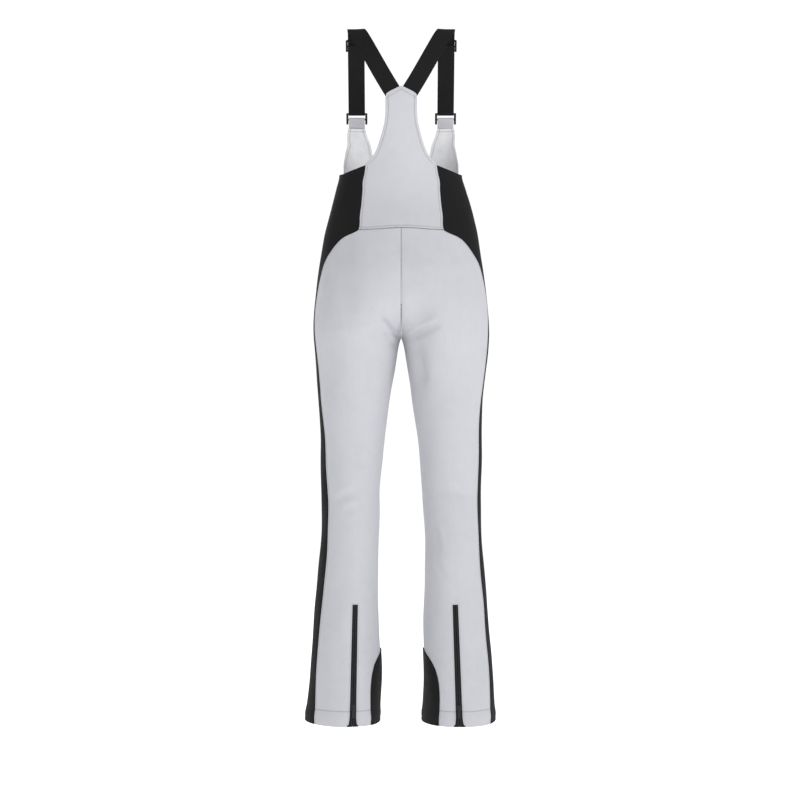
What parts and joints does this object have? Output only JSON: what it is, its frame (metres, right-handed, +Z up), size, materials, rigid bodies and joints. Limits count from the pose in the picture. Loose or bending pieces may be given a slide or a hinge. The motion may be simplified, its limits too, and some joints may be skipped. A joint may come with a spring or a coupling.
{
  "type": "ski bib trousers",
  "caption": "Racerback ski bib trousers in light softshell with black side panels, elastic shoulder straps with adjusters, and zips at the front, pockets and back of the hems.",
  "frame": {"origin": "midway between the two places where the straps rest on the wearer's shoulders, on the level of the straps' undersides", "axes": "+Z up along the body, the wearer faces -Y, and the wearer's left is +X"},
  "size_m": [0.3983, 0.2467, 1.4277],
  "materials": {
    "light_softshell": "matt woven softshell, cool light grey",
    "black_softshell": "matt woven softshell, black",
    "elastic_webbing": "ribbed elastic webbing, black",
    "lining_fabric": "plain woven lining, dark grey",
    "zip_tape": "woven polyester tape with nylon coil, black",
    "zip_metal": "satin black painted zinc",
    "black_nylon": "satin moulded nylon, black"
  },
  "bodies": {
    "garment": {"back_bib_panel": "light_softshell", "back_leg_panel_left": "light_softshell", "back_leg_panel_right": "light_softshell", "bib_tab_left": "light_softshell", "bib_tab_right": "light_softshell", "front_bib_panel_left": "light_softshell", "front_bib_panel_right": "light_softshell", "front_leg_panel_left": "light_softshell", "front_leg_panel_right": "light_softshell", "front_zip_stop": "zip_metal", "front_zip_tape_left": "zip_tape", "front_zip_tape_right": "zip_tape", "hem_gusset_left": "black_softshell", "hem_gusset_right": "black_softshell", "hem_zip_tape_inner_left": "zip_tape", "hem_zip_tape_inner_right": "zip_tape", "hem_zip_tape_outer_left": "zip_tape", "hem_zip_tape_outer_right": "zip_tape", "pocket_bag_left": "lining_fabric", "pocket_bag_right": "lining_fabric", "pocket_zip_tape_back_left": "zip_tape", "pocket_zip_tape_back_right": "zip_tape", "pocket_zip_tape_front_left": "zip_tape", "pocket_zip_tape_front_right": "zip_tape", "scuff_guard_left": "black_softshell", "scuff_guard_right": "black_softshell", "shoulder_strap_left": "elastic_webbing", "shoulder_strap_right": "elastic_webbing", "side_panel_left": "black_softshell", "side_panel_right": "black_softshell", "snow_gaiter_left": "lining_fabric", "snow_gaiter_right": "lining_fabric", "strap_loop_left": "elastic_webbing", "strap_loop_right": "elastic_webbing", "strap_ring_left": "black_nylon", "strap_ring_right": "black_nylon"},
    "front_zip_slider": {"front_zip_slider": "zip_metal"},
    "front_zip_pull": {"front_zip_pull": "zip_metal"},
    "hem_zip_left_slider": {"hem_zip_left_slider": "zip_metal"},
    "hem_zip_left_pull": {"hem_zip_left_pull": "zip_metal"},
    "hem_zip_right_slider": {"hem_zip_right_slider": "zip_metal"},
    "hem_zip_right_pull": {"hem_zip_right_pull": "zip_metal"},
    "pocket_zip_left_slider": {"pocket_zip_left_slider": "zip_metal"},
    "pocket_zip_left_pull": {"pocket_zip_left_pull": "zip_metal"},
    "pocket_zip_right_slider": {"pocket_zip_right_slider": "zip_metal"},
    "pocket_zip_right_pull": {"pocket_zip_right_pull": "zip_metal"},
    "strap_adjuster_left": {"strap_adjuster_left": "black_nylon"},
    "strap_adjuster_right": {"strap_adjuster_right": "black_nylon"}
  },
  "joints": [
    {"name": "front_zip_slide", "type": "slide", "parent": "garment", "child": "front_zip_slider", "axis": [0, 0, -1], "range_m": [0, 0.242]},
    {"name": "front_zip_pull_hinge", "type": "hinge", "parent": "front_zip_slider", "child": "front_zip_pull", "pos_m": [0, -0.1058, -0.3115], "axis": [-1, 0, 0], "range_deg": [0, 160]},
    {"name": "hem_zip_left_slide", "type": "slide", "parent": "garment", "child": "hem_zip_left_slider", "axis": [-0.0204, -0.063, 0.9978], "range_m": [0, 0.192]},
    {"name": "hem_zip_left_pull_hinge", "type": "hinge", "parent": "hem_zip_left_slider", "child": "hem_zip_left_pull", "pos_m": [0.09725, 0.09423, -1.39345], "axis": [0.9702, 0.2399, 0.0349], "range_deg": [0, 160]},
    {"name": "hem_zip_right_slide", "type": "slide", "parent": "garment", "child": "hem_zip_right_slider", "axis": [0.0354, -0.0651, 0.9972], "range_m": [0, 0.192]},
    {"name": "hem_zip_right_pull_hinge", "type": "hinge", "parent": "hem_zip_right_slider", "child": "hem_zip_right_pull", "pos_m": [-0.1173, 0.09705, -1.39345], "axis": [0.9988, -0.0325, -0.0376], "range_deg": [0, 160]},
    {"name": "pocket_zip_left_slide", "type": "slide", "parent": "garment", "child": "pocket_zip_left_slider", "axis": [0.169, 0.0406, -0.9848], "range_m": [0, 0.11]},
    {"name": "pocket_zip_left_pull_hinge", "type": "hinge", "parent": "pocket_zip_left_slider", "child": "pocket_zip_left_pull", "pos_m": [0.09919, -0.08801, -0.44366], "axis": [-0.8998, -0.4014, -0.171], "range_deg": [0, 160]},
    {"name": "pocket_zip_right_slide", "type": "slide", "parent": "garment", "child": "pocket_zip_right_slider", "axis": [-0.169, 0.0406, -0.9848], "range_m": [0, 0.11]},
    {"name": "pocket_zip_right_pull_hinge", "type": "hinge", "parent": "pocket_zip_right_slider", "child": "pocket_zip_right_pull", "pos_m": [-0.09919, -0.08801, -0.44366], "axis": [-0.8998, 0.4014, 0.171], "range_deg": [0, 160]},
    {"name": "strap_adjuster_left_slide", "type": "slide", "parent": "garment", "child": "strap_adjuster_left", "axis": [0, -0.4146, -0.91], "range_m": [0, 0.105], "deforming": ["strap_loop_left"]},
    {"name": "strap_adjuster_right_slide", "type": "slide", "parent": "garment", "child": "strap_adjuster_right", "axis": [0, -0.4146, -0.91], "range_m": [0, 0.105], "deforming": ["strap_loop_right"]}
  ]
}
